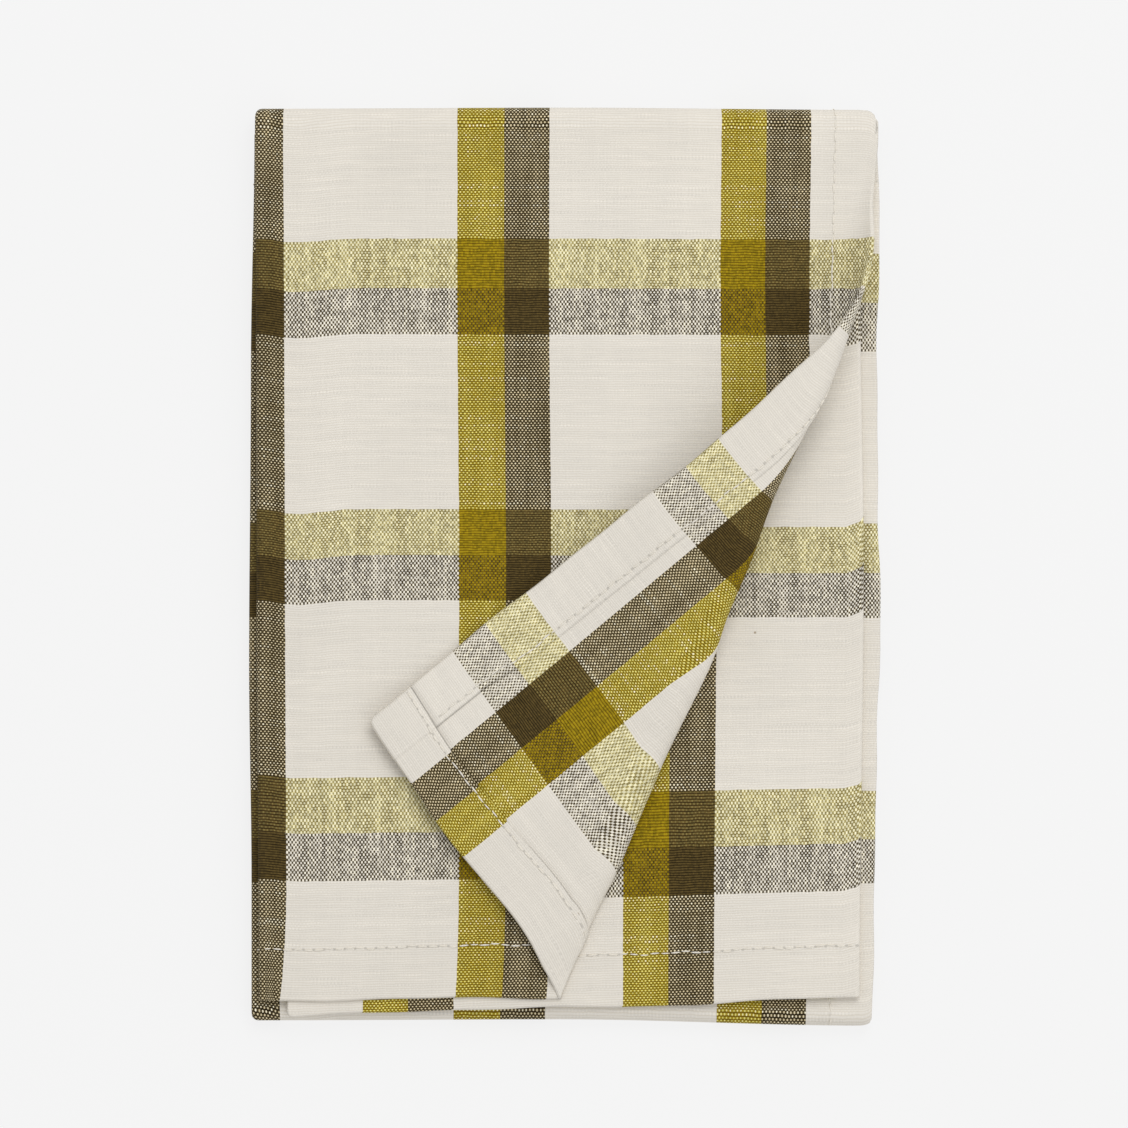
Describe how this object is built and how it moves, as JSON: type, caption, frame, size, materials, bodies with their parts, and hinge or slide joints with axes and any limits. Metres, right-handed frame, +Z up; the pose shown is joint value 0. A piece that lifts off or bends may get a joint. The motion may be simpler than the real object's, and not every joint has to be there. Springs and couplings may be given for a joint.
{
  "type": "tea towel",
  "caption": "Checked cotton tea towel folded in thirds both ways into a flat rectangle, with one corner of its top layer turned back in a soft roll.",
  "frame": {"origin": "centre of the folded towel's footprint, on the surface it lies on", "axes": "+X across the folded towel towards the turned-back corner's side, +Y along it towards the far fold, +Z up out of the surface"},
  "size_m": [0.175, 0.2558, 0.0285],
  "materials": {
    "woven_cotton": "matt plain-woven cotton in natural cream with a mustard and brown check"
  },
  "bodies": {
    "root": {"towel_cloth": "woven_cotton"}
  },
  "joints": []
}
